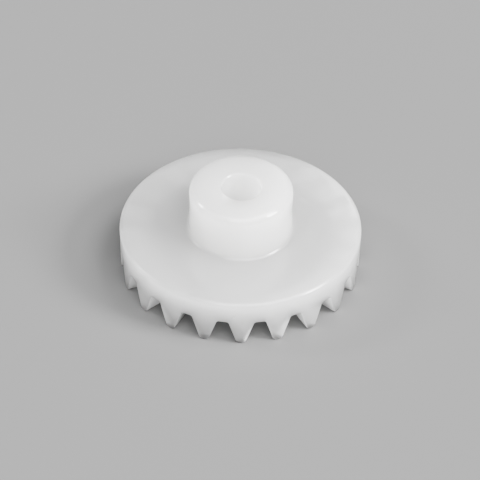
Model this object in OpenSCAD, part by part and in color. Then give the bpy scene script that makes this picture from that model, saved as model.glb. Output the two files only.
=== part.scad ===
// Crown gear: a ring of teeth under the rim of a disc, with a hub and a bore.
// The gear stands on its tooth tips at z = 0, with its axis on Z.
// All sizes are in millimetres, and angles in degrees.

/* [Teeth] */
// Number of teeth
tooth_count = 20; // [19:1:22]
// Height of a tooth, from its tip to the root of the gap
tooth_h = 1.37; // [1.1:0.01:1.5]
// Length of the teeth along the radius
face_w = 1.4; // [1.1:0.1:1.6]
// Width of a gap at its root
gap_root_w = 0.56; // [0.4:0.02:0.6]
// Angle of a flank from the axis
flank_angle = 17.5; // [15:0.5:19.5]
// Radius of the fillets in the root of a gap
root_fillet = 0.14; // [0.1:0.02:0.16]
// Radius of the rounded tooth tips
tip_round = 0.25; // [0.1:0.05:0.25]

/* [Disc] */
// Diameter over the rim
outer_d = 12; // [11.8:0.1:13]
// Thickness of the rim above the tooth roots
rim_t = 1.2; // [1.12:0.01:1.4]
// Thickness of the web between the teeth and the hub
web_t = 0.97; // [0.8:0.01:1]
// Draft of the outer face, narrowing towards the tooth tips
rim_draft = 2; // [1:0.5:3]
// Radius of the rim's top edge
rim_edge = 0.2; // [0.1:0.02:0.3]
// Radius in the corners of the recess under the web
recess_fillet = 0.12; // [0.06:0.02:0.14]

/* [Hub] */
// Diameter of the hub at its foot
hub_d = 5.18; // [4.8:0.02:6]
// Height of the hub above the disc
hub_h = 2.52; // [1.5:0.02:3]
// Draft of the hub, narrowing towards its top
hub_draft = 0.5; // [0.25:0.25:2]
// Radius of the hub's top edge
hub_edge = 0.38; // [0.2:0.02:0.5]
// Radius of the fillet at the hub's foot
hub_foot = 0.2; // [0.1:0.05:0.4]
// Diameter of the boss under the web
boss_d = 4.2; // [3.6:0.1:5]
// How far the boss stands below the web
boss_h = 0.85; // [0.4:0.05:0.85]
// Radius of the boss's lower edge
boss_edge = 0.15; // [0.1:0.05:0.2]

/* [Bore] */
// Diameter of the bore, a press fit on a shaft of 2 mm
bore_d = 1.95; // [1.9:0.01:2.1]
// Radius of the bore's rounded mouth in the hub
mouth_round = 0.1; // [0.05:0.05:0.3]
// Radius of the bore's lower edge in the boss
exit_round = 0.15; // [0.1:0.05:0.2]

/* [Hidden] */
$fn = 64;
outer_r = outer_d / 2;
bore_r = bore_d / 2;
disc_top = tooth_h + rim_t;
web_z = disc_top - web_t;
hub_top = disc_top + hub_h;
boss_z = web_z - boss_h;
recess_r = outer_r - face_w;
past = 0.5; // how far a cutter runs past the surface it cuts
tip_drop = 0.01; // sets the tip arcs low, so that they meet the tip plane at an angle

// Radius of the drafted outer face at height z
function rim_r(z) = outer_r - (disc_top - z) * tan(rim_draft);

// Radius of the drafted hub at height z
function hub_r(z) = hub_d / 2 - (z - disc_top) * tan(hub_draft);

// What a rounding of radius r takes off an outside corner at the origin.
// The solid lies at x < 0 and y < 0.
module edge_cut(r) {
    difference() {
        translate([-r, -r]) square(r + past);
        translate([-r, -r]) circle(r);
    }
}

// What a fillet of radius r adds to an inside corner at the origin.
// The solid lies at x < 0 and at y < 0.
module corner_fill(r) {
    difference() {
        translate([-r, -r]) square(2 * r);
        translate([r, r]) circle(r);
    }
}

// Half section of the disc above its recess, with the rounded top edge
module disc_section() {
    mid_z = disc_top - rim_edge;
    mid_r = rim_r(mid_z) - rim_edge / cos(rim_draft);
    touch = [mid_r + rim_edge * cos(rim_draft), mid_z - rim_edge * sin(rim_draft)];
    polygon([[0, 0], [rim_r(0), 0], touch, [mid_r, mid_z], [mid_r, disc_top], [0, disc_top]]);
    translate([mid_r, mid_z]) circle(rim_edge);
}

// Half section of the hub above the disc, with its rounded edge and its foot
module hub_section() {
    mid_z = hub_top - hub_edge;
    mid_r = hub_r(mid_z) - hub_edge / cos(hub_draft);
    touch = [mid_r + hub_edge * cos(hub_draft), mid_z + hub_edge * sin(hub_draft)];
    foot_r = hub_r(disc_top + hub_foot) + hub_foot / cos(hub_draft);
    foot_touch = [foot_r - hub_foot * cos(hub_draft), disc_top + hub_foot - hub_foot * sin(hub_draft)];
    polygon([[0, web_z], [hub_r(web_z), web_z], [hub_r(disc_top), disc_top], touch,
             [mid_r, mid_z], [mid_r, hub_top], [0, hub_top]]);
    translate([mid_r, mid_z]) circle(hub_edge);
    difference() {
        polygon([[0, web_z], [foot_r, web_z], [foot_r, disc_top],
                 [foot_r, disc_top + hub_foot], foot_touch, [0, foot_touch[1]]]);
        translate([foot_r, disc_top + hub_foot]) circle(hub_foot);
    }
}

// Half section of the recess between the boss and the tooth ring
module recess_section() {
    boss_r = boss_d / 2;
    difference() {
        translate([0, -past]) square([recess_r, web_z + past]);
        translate([recess_r, web_z]) rotate(180) corner_fill(recess_fillet);
        difference() {
            translate([0, boss_z]) square([boss_r, boss_h + past]);
            translate([boss_r, boss_z]) mirror([0, 1]) edge_cut(boss_edge);
        }
        translate([boss_r, web_z]) mirror([0, 1]) corner_fill(recess_fillet);
    }
}

// Section of one gap between two teeth, along the radius.
// Its fillets are at the root, and it flares at the mouth to round the tips.
module gap_section() {
    half_root = gap_root_w / 2;
    half_mouth = half_root + tooth_h * tan(flank_angle);
    fillet_x = half_root - root_fillet * tan(45 - flank_angle / 2);
    fillet_z = tooth_h - root_fillet;
    fillet_touch = [fillet_x + root_fillet * cos(flank_angle), fillet_z + root_fillet * sin(flank_angle)];
    tip_x = half_mouth + tip_round * tan(45 - flank_angle / 2);
    tip_z = tip_round - tip_drop;
    tip_touch = [tip_x - tip_round * cos(flank_angle), tip_z - tip_round * sin(flank_angle)];
    for (side = [0, 1]) mirror([side, 0]) {
        difference() {
            polygon([[0, -past], [tip_x, -past], [tip_x, tip_z], tip_touch,
                     fillet_touch, [fillet_x, fillet_z], [fillet_x, tooth_h], [0, tooth_h]]);
            translate([tip_x, tip_z]) circle(tip_round);
        }
        translate([fillet_x, fillet_z]) circle(root_fillet);
    }
}

// Cutter for one gap, running outwards through the tooth ring
module gap_cutter() {
    start = recess_r - 0.4;
    translate([start, 0, 0])
        rotate([90, 0, 90])
            linear_extrude(outer_r + past - start) gap_section();
}

module crown_gear() {
    color("whitesmoke")
    difference() {
        rotate_extrude() {
            disc_section();
            hub_section();
        }
        rotate_extrude() recess_section();
        for (i = [0 : tooth_count - 1])
            rotate(-90 + (i + 0.5) * 360 / tooth_count) gap_cutter();
        translate([0, 0, -past]) cylinder(r = bore_r, h = hub_top + 2 * past);
        rotate_extrude() translate([bore_r, hub_top]) mirror([1, 0]) edge_cut(mouth_round);
        rotate_extrude() translate([bore_r, boss_z]) rotate(180) edge_cut(exit_round);
    }
}

crown_gear();
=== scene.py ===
"""A small moulded crown gear in natural white acetal, standing on its teeth on a pale floor.

The gear is one closed shell of quads. Its section is swept round the axis, and its
columns follow the gaps and the rounded tips of the teeth.
Sizes in the first part are in millimetres. Blender gets everything in metres.
"""

import math

import bpy
import numpy as np
from mathutils import Matrix, Vector


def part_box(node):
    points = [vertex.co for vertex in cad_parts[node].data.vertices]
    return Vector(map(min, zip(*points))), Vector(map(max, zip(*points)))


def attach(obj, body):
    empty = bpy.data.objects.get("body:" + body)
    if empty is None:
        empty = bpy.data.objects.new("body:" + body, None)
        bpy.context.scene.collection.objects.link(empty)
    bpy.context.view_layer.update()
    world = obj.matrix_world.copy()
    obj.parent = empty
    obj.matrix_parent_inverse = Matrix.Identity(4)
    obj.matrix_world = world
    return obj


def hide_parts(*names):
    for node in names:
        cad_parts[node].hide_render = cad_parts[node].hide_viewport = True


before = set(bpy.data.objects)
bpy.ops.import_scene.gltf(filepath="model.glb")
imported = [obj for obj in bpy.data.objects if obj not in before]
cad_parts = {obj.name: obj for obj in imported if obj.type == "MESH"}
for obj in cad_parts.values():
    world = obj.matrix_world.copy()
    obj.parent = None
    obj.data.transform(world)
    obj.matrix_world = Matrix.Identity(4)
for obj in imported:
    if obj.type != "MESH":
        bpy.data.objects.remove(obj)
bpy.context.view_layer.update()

MM = 0.001

# Teeth
TEETH = 20
HALF_PITCH = math.pi / TEETH
FIRST_TOOTH = math.radians(-90)
TOOTH_H = 1.37
FACE_W = 1.4
HALF_ROOT = 0.28
FLANK = math.radians(17.5)
HALF_MOUTH = HALF_ROOT + TOOTH_H * math.tan(FLANK)
ROOT_FILLET = 0.15
LEAST_TIP = 0.08
TIP_BLEND = 0.03
EDGE_BREAK = 0.05
# Height above the gaps at which the rings on the outer face become level
LEVEL_ABOVE_GAPS = 0.25

# Disc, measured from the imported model
highest_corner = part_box("crown_gear")[1]
HUB_TOP = highest_corner.z / MM
WIDEST_R = highest_corner.x / MM
HUB_H = 2.52
DISC_TOP = HUB_TOP - HUB_H
RIM_DRAFT = math.radians(2)
RIM_EDGE = 0.2
WEB_T = 0.97
WEB_Z = DISC_TOP - WEB_T
RECESS_R = WIDEST_R - FACE_W
RECESS_FILLET = 0.12

# Hub, boss and bore
HUB_FOOT_R = 2.59
HUB_DRAFT = math.radians(0.5)
HUB_EDGE = 0.38
HUB_FOOT = 0.2
HUB_WAIST = 0.045
BOSS_R = 2.1
BOSS_H = 0.85
BOSS_Z = WEB_Z - BOSS_H
BOSS_EDGE = 0.15
BORE_R = 0.975
MOUTH_ROUND = 0.12
EXIT_ROUND = 0.15

# The nub that the mould's gate leaves on the rim, above the first tooth
NUB_ANGLE = FIRST_TOOTH - math.radians(3.9)
NUB_Z = 1.76
NUB_R = 0.12
NUB_H = 0.12

# Looks
TRANSLUCENCY = 18.0
LIGHT_DISTANCE = 1200
FLOOR_HALF = 3000


def rim_radius(z):
    """Radius of the drafted outer face at height z."""
    widest_z = DISC_TOP - RIM_EDGE
    return WIDEST_R - (widest_z - z) * math.tan(RIM_DRAFT)


def hub_radius(z):
    """Radius of the hub's side at height z, with the slight waist that shrinkage leaves."""
    foot, top = DISC_TOP + HUB_FOOT, HUB_TOP - HUB_EDGE
    along = np.clip((z - foot) / (top - foot), 0, 1)
    waist = HUB_WAIST * np.sin(math.pi * along) ** 2
    return HUB_FOOT_R - (z - DISC_TOP) * math.tan(HUB_DRAFT) - waist


def ring_radius(share, inset, z):
    """Radius at a share of the way from the recess's wall (0) to the outer face (1), at
    height z. Both ends are drawn in by the inset."""
    inner = RECESS_R + inset
    outer = rim_radius(z) - inset
    return inner + (outer - inner) * share


# ---------------------------------------------------------------- section of the teeth

def tip_circle(reach):
    """Centre height and radius of the circle that rounds a tooth at this distance from the axis.

    The teeth narrow inwards. The radius passes smoothly into LEAST_TIP there.
    """
    half_width = reach * math.sin(HALF_PITCH - math.asin(HALF_MOUTH / reach))
    full = half_width * math.cos(FLANK) / (1 - math.sin(FLANK))
    radius = (full + LEAST_TIP + math.hypot(full - LEAST_TIP, TIP_BLEND)) / 2
    centre = (radius / math.cos(FLANK) - half_width) / math.tan(FLANK)
    return centre, radius


def half_gap(share, inset=EDGE_BREAK, offset=0.0):
    """Points from the middle of a gap to the middle of the next tooth.

    The share and the inset place them along the teeth, as in ring_radius. The offset
    moves the section into the material.
    Returns angles from the middle of the gap, radii and heights.
    """
    centre, tip = tip_circle(ring_radius(share, inset, 0))
    steep = math.pi / 2 - FLANK
    fillet_x = HALF_ROOT - ROOT_FILLET * math.tan(math.pi / 4 - FLANK / 2)
    flat = [(x, TOOTH_H, 0.0) for x in np.linspace(0, fillet_x, 3)[:-1]]
    fillet = [
        (fillet_x + ROOT_FILLET * math.sin(a), TOOTH_H - ROOT_FILLET * (1 - math.cos(a)), a)
        for a in np.linspace(0, steep, 5)
    ]
    flank_top = fillet[-1][1]
    flank_low = centre - tip * math.sin(FLANK)
    flank = [
        (HALF_MOUTH - z * math.tan(FLANK), z, steep)
        for z in np.linspace(flank_top, flank_low, 5)[1:-1]
    ]
    points = []
    for x, z, lean in flat + fillet + flank:
        x, z = x + offset * math.sin(lean), z + offset * math.cos(lean)
        radius = ring_radius(share, inset, z)
        points.append((math.asin(x / radius), radius, z))
    for a in np.linspace(steep, 0, 7):
        side, z = (tip - offset) * math.sin(a), centre - (tip - offset) * math.cos(a)
        radius = ring_radius(share, inset, z)
        points.append((HALF_PITCH - math.asin(side / radius), radius, z))
    return np.array(points)


def whole_turn(half):
    """All columns of one ring, from half a gap: an array of angles, radii and heights."""
    mirrored = half[-2:0:-1].copy()
    mirrored[:, 0] = 2 * HALF_PITCH - mirrored[:, 0]
    period = np.concatenate([half, mirrored])
    turns = []
    for i in range(TEETH):
        turn = period.copy()
        turn[:, 0] += FIRST_TOOTH + (2 * i + 1) * HALF_PITCH
        turns.append(turn)
    return np.concatenate(turns)


# ---------------------------------------------------------------- section of the body

def arc(centre_r, centre_z, radius, start, end, steps):
    """Points (radius, height) on an arc, without its first point. Angles in degrees."""
    angles = np.radians(np.linspace(start, end, steps + 1)[1:])
    return [(centre_r + radius * math.cos(a), centre_z + radius * math.sin(a)) for a in angles]


def run(start, end, stops):
    """Points on a straight run, at the given shares of the way, and its end."""
    (r0, z0), (r1, z1) = start, end
    return [(r0 + (r1 - r0) * s, z0 + (z1 - z0) * s) for s in stops] + [end]


def disc_and_hub():
    """Section from the disc's rounded top edge, over the hub, to the edge of the bore."""
    edge_z = DISC_TOP - RIM_EDGE
    edge_r = rim_radius(edge_z) - RIM_EDGE
    foot_z = DISC_TOP + HUB_FOOT
    foot_r = hub_radius(foot_z) + HUB_FOOT
    top_z = HUB_TOP - HUB_EDGE
    top_r = hub_radius(top_z) - HUB_EDGE
    mouth_r = BORE_R + MOUTH_ROUND

    path = [(rim_radius(edge_z), edge_z)]
    path += arc(edge_r, edge_z, RIM_EDGE, 0, 90, 7)
    stops = (0.02, 0.1, 0.22, 0.36, 0.5, 0.64, 0.78, 0.9, 0.98)
    path += run((edge_r, DISC_TOP), (foot_r, DISC_TOP), stops)
    path += arc(foot_r, foot_z, HUB_FOOT, 270, 180, 7)
    path += [(hub_radius(z), z) for z in np.linspace(foot_z, top_z, 13)[1:]]
    path += arc(top_r, top_z, HUB_EDGE, 0, 90, 10)
    path += run((top_r, HUB_TOP), (mouth_r, HUB_TOP), (0.03, 0.15, 0.35, 0.6, 0.85, 0.97))
    path += arc(mouth_r, HUB_TOP - MOUTH_ROUND, MOUTH_ROUND, 90, 180, 6)
    return path


def bore_and_boss():
    """Section from the bore's mouth down to its lower edge, and over the boss to the web."""
    exit_r = BORE_R + EXIT_ROUND
    edge_r, edge_z = BOSS_R - BOSS_EDGE, BOSS_Z + BOSS_EDGE
    fillet_z = WEB_Z - RECESS_FILLET
    path = run((BORE_R, HUB_TOP - MOUTH_ROUND), (BORE_R, BOSS_Z + EXIT_ROUND),
               (0.03, 0.12, 0.25, 0.4, 0.6, 0.8, 0.97))
    path += arc(exit_r, BOSS_Z + EXIT_ROUND, EXIT_ROUND, 180, 270, 5)
    path += run((exit_r, BOSS_Z), (edge_r, BOSS_Z), (0.05, 0.5, 0.95))
    path += arc(edge_r, edge_z, BOSS_EDGE, 270, 360, 5)
    path += run((BOSS_R, edge_z), (BOSS_R, fillet_z), (0.05, 0.5, 0.95))
    path += arc(BOSS_R + RECESS_FILLET, fillet_z, RECESS_FILLET, 180, 90, 5)
    return path


def web():
    """Section of the web's underside, out to the recess's wall."""
    inner_r, outer_r = BOSS_R + RECESS_FILLET, RECESS_R - RECESS_FILLET
    path = run((inner_r, WEB_Z), (outer_r, WEB_Z), (0.03, 0.25, 0.5, 0.75, 0.97))
    path += arc(outer_r, WEB_Z - RECESS_FILLET, RECESS_FILLET, 90, 0, 5)
    return path


def swept(path, angles, spread_from, spread_to):
    """Rings through the path. Their columns start at the given angles where the radius is
    spread_from, and are evenly spaced from spread_to inwards."""
    count = len(angles)
    even = FIRST_TOOTH + HALF_PITCH + np.arange(count) * 2 * math.pi / count
    rings = []
    for radius, z in path:
        share = np.clip((spread_from - radius) / (spread_from - spread_to), 0, 1)
        blend = share * share * (3 - 2 * share)
        turned = angles + (even - angles) * blend
        rings.append(np.stack([turned, np.full(count, radius), np.full(count, z)], 1))
    return rings


def gear_rings():
    """Every ring of the shell in order, each an array of (angle, radius, height) columns."""
    edge = np.radians([90, 60, 30])
    insets = EDGE_BREAK * (1 - np.sin(edge))
    offsets = EDGE_BREAK * (1 - np.cos(edge))
    halves = [half_gap(0, inset, offset) for inset, offset in zip(insets, offsets)]
    for share in (0, 0.02, 0.12, 0.24, 0.36, 0.48, 0.6, 0.72, 0.84, 0.96, 1):
        halves.append(half_gap(share))
    halves += [half_gap(1, inset, offset) for inset, offset in zip(insets[::-1], offsets[::-1])]
    rings = [whole_turn(half) for half in halves]
    inner, outer = rings[0], rings[-1]

    # The outer face, from the teeth's edge up to the rim's rounded edge.
    level_z = TOOTH_H + LEVEL_ABOVE_GAPS
    for share in (0.08, 0.3, 0.6, 1):
        z = outer[:, 2] + (level_z - outer[:, 2]) * share
        rings.append(np.stack([outer[:, 0], rim_radius(z), z], 1))
    face = [(rim_radius(z), z) for z in np.linspace(level_z, DISC_TOP - RIM_EDGE, 7)[1:-1]]
    top = disc_and_hub() + bore_and_boss()
    rings += swept(face + top, outer[:, 0], WIDEST_R, HUB_FOOT_R)
    rings += swept(web(), inner[:, 0], RECESS_R, BOSS_R + RECESS_FILLET)

    # The recess's wall, down to the teeth's inner edge.
    wall_z = WEB_Z - RECESS_FILLET
    for share in (0.4, 0.7, 0.92):
        z = wall_z + (inner[:, 2] - wall_z) * share
        rings.append(np.stack([inner[:, 0], np.full(len(z), RECESS_R), z], 1))
    return rings


def ring_shell(rings):
    """Points and quads of a closed shell through the rings, which have equal numbers of columns."""
    count, columns = len(rings), len(rings[0])
    angle, radius, z = np.moveaxis(np.stack(rings), -1, 0)
    points = np.stack([radius * np.cos(angle), radius * np.sin(angle), z], -1).reshape(-1, 3) * MM
    ring = np.arange(count)[:, None]
    column = np.arange(columns)[None, :]
    next_ring, next_column = (ring + 1) % count, (column + 1) % columns
    corners = [(ring, column), (ring, next_column), (next_ring, next_column), (next_ring, column)]
    faces = np.stack([r * columns + c for r, c in corners], -1).reshape(-1, 4)
    return points.tolist(), faces.tolist()


def gear_moulding():
    """The whole moulding as one object."""
    points, faces = ring_shell(gear_rings())
    mesh = bpy.data.meshes.new("crown_gear_moulding")
    mesh.from_pydata(points, [], faces)
    mesh.validate()
    mesh.shade_smooth()
    mesh.materials.append(acetal())
    piece = bpy.data.objects.new("crown_gear_moulding", mesh)
    bpy.context.scene.collection.objects.link(piece)
    return piece


# ---------------------------------------------------------------- materials

def new_material(name):
    """A new material and its Principled shader."""
    material = bpy.data.materials.new(name)
    material.use_nodes = True
    return material, material.node_tree.nodes["Principled BSDF"]


def add_node(tree, kind, **values):
    """A new node. The values are those of its inputs, with _ for a space in a name."""
    node = tree.nodes.new(kind)
    for key, value in values.items():
        node.inputs[key.replace("_", " ")].default_value = value
    return node


def noise(tree, place, scale, detail, roughness):
    """Output of a noise that is fixed to the object. The scale is in cells a metre."""
    node = add_node(tree, "ShaderNodeTexNoise", Scale=scale, Detail=detail, Roughness=roughness)
    tree.links.new(place, node.inputs["Vector"])
    return node.outputs["Fac"]


def bump(tree, height, strength, distance, below=None):
    """Normal of a bump from a height, laid over the bump below it. The distance is in mm."""
    node = add_node(tree, "ShaderNodeBump", Strength=strength, Distance=distance * MM)
    tree.links.new(height, node.inputs["Height"])
    if below:
        tree.links.new(below, node.inputs["Normal"])
    return node.outputs["Normal"]


def gate_nub(tree, place):
    """Height of the gate's nub: 1 at its middle, 0 from its edge outwards."""
    nub_r = rim_radius(NUB_Z)
    distance = add_node(tree, "ShaderNodeVectorMath")
    distance.operation = "DISTANCE"
    centre = Vector((nub_r * math.cos(NUB_ANGLE), nub_r * math.sin(NUB_ANGLE), NUB_Z)) * MM
    distance.inputs[1].default_value = centre
    tree.links.new(place, distance.inputs[0])
    dome = add_node(tree, "ShaderNodeMapRange", From_Max=NUB_R * MM, To_Min=1, To_Max=0)
    dome.interpolation_type = "SMOOTHERSTEP"
    tree.links.new(distance.outputs["Value"], dome.inputs["Value"])
    return dome.outputs["Result"]


def acetal():
    """Natural white acetal: milky, translucent, satin as it left the mould."""
    material, shader = new_material("moulded_acetal")
    tree = material.node_tree
    link = tree.links.new
    place = add_node(tree, "ShaderNodeTexCoord").outputs["Object"]

    tint = add_node(tree, "ShaderNodeValToRGB")
    darker, lighter = tint.color_ramp.elements
    darker.position = 0.3
    darker.color = (0.945, 0.935, 0.915, 1)
    lighter.position = 0.7
    lighter.color = (0.975, 0.965, 0.945, 1)
    link(noise(tree, place, scale=420, detail=3, roughness=0.5), tint.inputs["Fac"])
    link(tint.outputs["Color"], shader.inputs["Base Color"])

    gloss = add_node(tree, "ShaderNodeMapRange", To_Min=0.1, To_Max=0.18)
    link(noise(tree, place, scale=900, detail=4, roughness=0.6), gloss.inputs["Value"])
    link(gloss.outputs["Result"], shader.inputs["Roughness"])

    waves = noise(tree, place, scale=260, detail=2, roughness=0.5)
    grain = noise(tree, place, scale=9000, detail=3, roughness=0.6)
    swell = bump(tree, waves, strength=0.3, distance=0.03)
    fine = bump(tree, grain, strength=0.1, distance=0.004, below=swell)
    nub = bump(tree, gate_nub(tree, place), strength=1, distance=NUB_H, below=fine)
    link(nub, shader.inputs["Normal"])

    shader.inputs["IOR"].default_value = 1.48
    shader.inputs["Specular IOR Level"].default_value = 0.85
    shader.inputs["Subsurface Weight"].default_value = 1.0
    shader.inputs["Subsurface Radius"].default_value = (1.0, 1.0, 1.0)
    shader.inputs["Subsurface Scale"].default_value = TRANSLUCENCY * MM
    shader.inputs["Subsurface Anisotropy"].default_value = 0.3
    return material


def floor_paint():
    """Plain pale matt floor."""
    material, shader = new_material("pale_floor")
    shader.inputs["Base Color"].default_value = (0.115, 0.115, 0.115, 1)
    shader.inputs["Roughness"].default_value = 0.8
    shader.inputs["Specular IOR Level"].default_value = 0.2
    return material


# ---------------------------------------------------------------- camera, light and floor

def add_camera():
    """The viewing angle: from the front, well above, through a very long lens."""
    turn, elevation, roll = math.radians(1.25), math.radians(41.0), math.radians(1.05)
    distance, sensor = 322, 36
    pixels_per_mm, frame_pixels = 20.07, 480
    aim_right, aim_up = -0.013, 1.203
    right = Vector((math.cos(turn), -math.sin(turn), 0))
    forward = Vector((-math.sin(turn), -math.cos(turn), 0))
    back = forward * math.cos(elevation) + Vector((0, 0, math.sin(elevation)))
    up = back.cross(right)
    aim = right * aim_right + up * aim_up
    data = bpy.data.cameras.new("camera")
    data.sensor_width = sensor
    data.lens = sensor * pixels_per_mm * distance / frame_pixels
    data.clip_start = 10 * MM
    data.clip_end = 20
    camera = bpy.data.objects.new("camera", data)
    turned_right = right * math.cos(roll) + up * math.sin(roll)
    turned_up = up * math.cos(roll) - right * math.sin(roll)
    rows = Matrix((turned_right, turned_up, back)).transposed().to_4x4()
    rows.translation = (aim + back * distance) * MM
    camera.matrix_world = rows
    bpy.context.scene.collection.objects.link(camera)
    bpy.context.scene.camera = camera


def add_light(name, azimuth, elevation, size, power):
    """A soft square light aimed at the gear. Azimuth 0 is in front and 90 is on the right."""
    a, e = math.radians(azimuth), math.radians(elevation)
    away = Vector((math.sin(a) * math.cos(e), -math.cos(a) * math.cos(e), math.sin(e)))
    data = bpy.data.lights.new(name, "AREA")
    data.size = size * MM
    data.energy = power
    light = bpy.data.objects.new(name, data)
    light.location = (away * LIGHT_DISTANCE + Vector((0, 0, DISC_TOP))) * MM
    light.rotation_euler = away.to_track_quat("Z", "Y").to_euler()
    bpy.context.scene.collection.objects.link(light)


def add_world(strength):
    """Even, white surroundings."""
    world = bpy.data.worlds.new("studio")
    world.use_nodes = True
    sky = world.node_tree.nodes["Background"]
    sky.inputs["Color"].default_value = (1, 1, 1, 1)
    sky.inputs["Strength"].default_value = strength
    bpy.context.scene.world = world


def add_floor():
    """A wide plain floor under the teeth."""
    half = FLOOR_HALF * MM
    corners = [(-half, -half, 0), (half, -half, 0), (half, half, 0), (-half, half, 0)]
    mesh = bpy.data.meshes.new("floor")
    mesh.from_pydata(corners, [], [(0, 1, 2, 3)])
    mesh.materials.append(floor_paint())
    floor = bpy.data.objects.new("floor", mesh)
    bpy.context.scene.collection.objects.link(floor)


def main():
    """Make the gear, then the camera, the lights and the floor."""
    gear = gear_moulding()
    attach(gear, "root")
    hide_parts("crown_gear")

    add_camera()
    add_light("right_key", 71, 33, 380, 47)
    add_light("right_high", 85, 60, 500, 20)
    add_light("front_high", 8, 52, 1100, 48)
    add_light("left", 256, 34, 250, 12)
    add_world(0.11)
    add_floor()


main()
